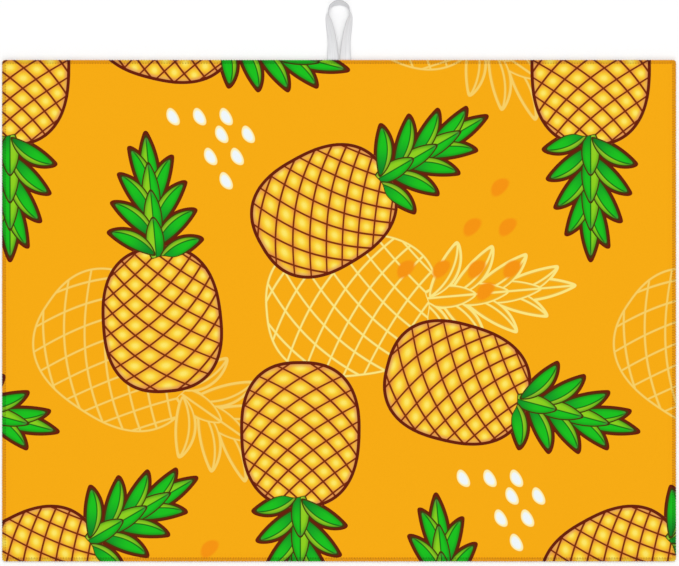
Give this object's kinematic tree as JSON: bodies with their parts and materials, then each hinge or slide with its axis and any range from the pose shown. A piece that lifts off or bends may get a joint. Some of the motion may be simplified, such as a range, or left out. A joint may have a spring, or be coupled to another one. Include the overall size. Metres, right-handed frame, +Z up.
{
  "type": "printed dish drying mat",
  "caption": "Flat rectangular absorbent kitchen mat with a foam core between fabric covers, an overlocked edge, a fruit print on top and a ribbon loop for hanging.",
  "frame": {"origin": "the middle of the mat's underside, on the surface that the mat lies on", "axes": "+X along the mat's width, +Y along its depth towards the hanging loop, +Z up out of the printed face"},
  "size_m": [0.61, 0.5079, 0.0103],
  "materials": {
    "printed_fabric": "matte",
    "foam": "matte",
    "backing_fabric": "matte",
    "ribbon": "satin",
    "edge_thread": "matte"
  },
  "bodies": {
    "root": {"top_cover": "printed_fabric", "foam_core": "foam", "back_cover": "backing_fabric", "hanging_loop": "ribbon", "needle_thread": "edge_thread", "upper_looper_thread": "edge_thread", "lower_looper_thread": "edge_thread"}
  },
  "joints": []
}
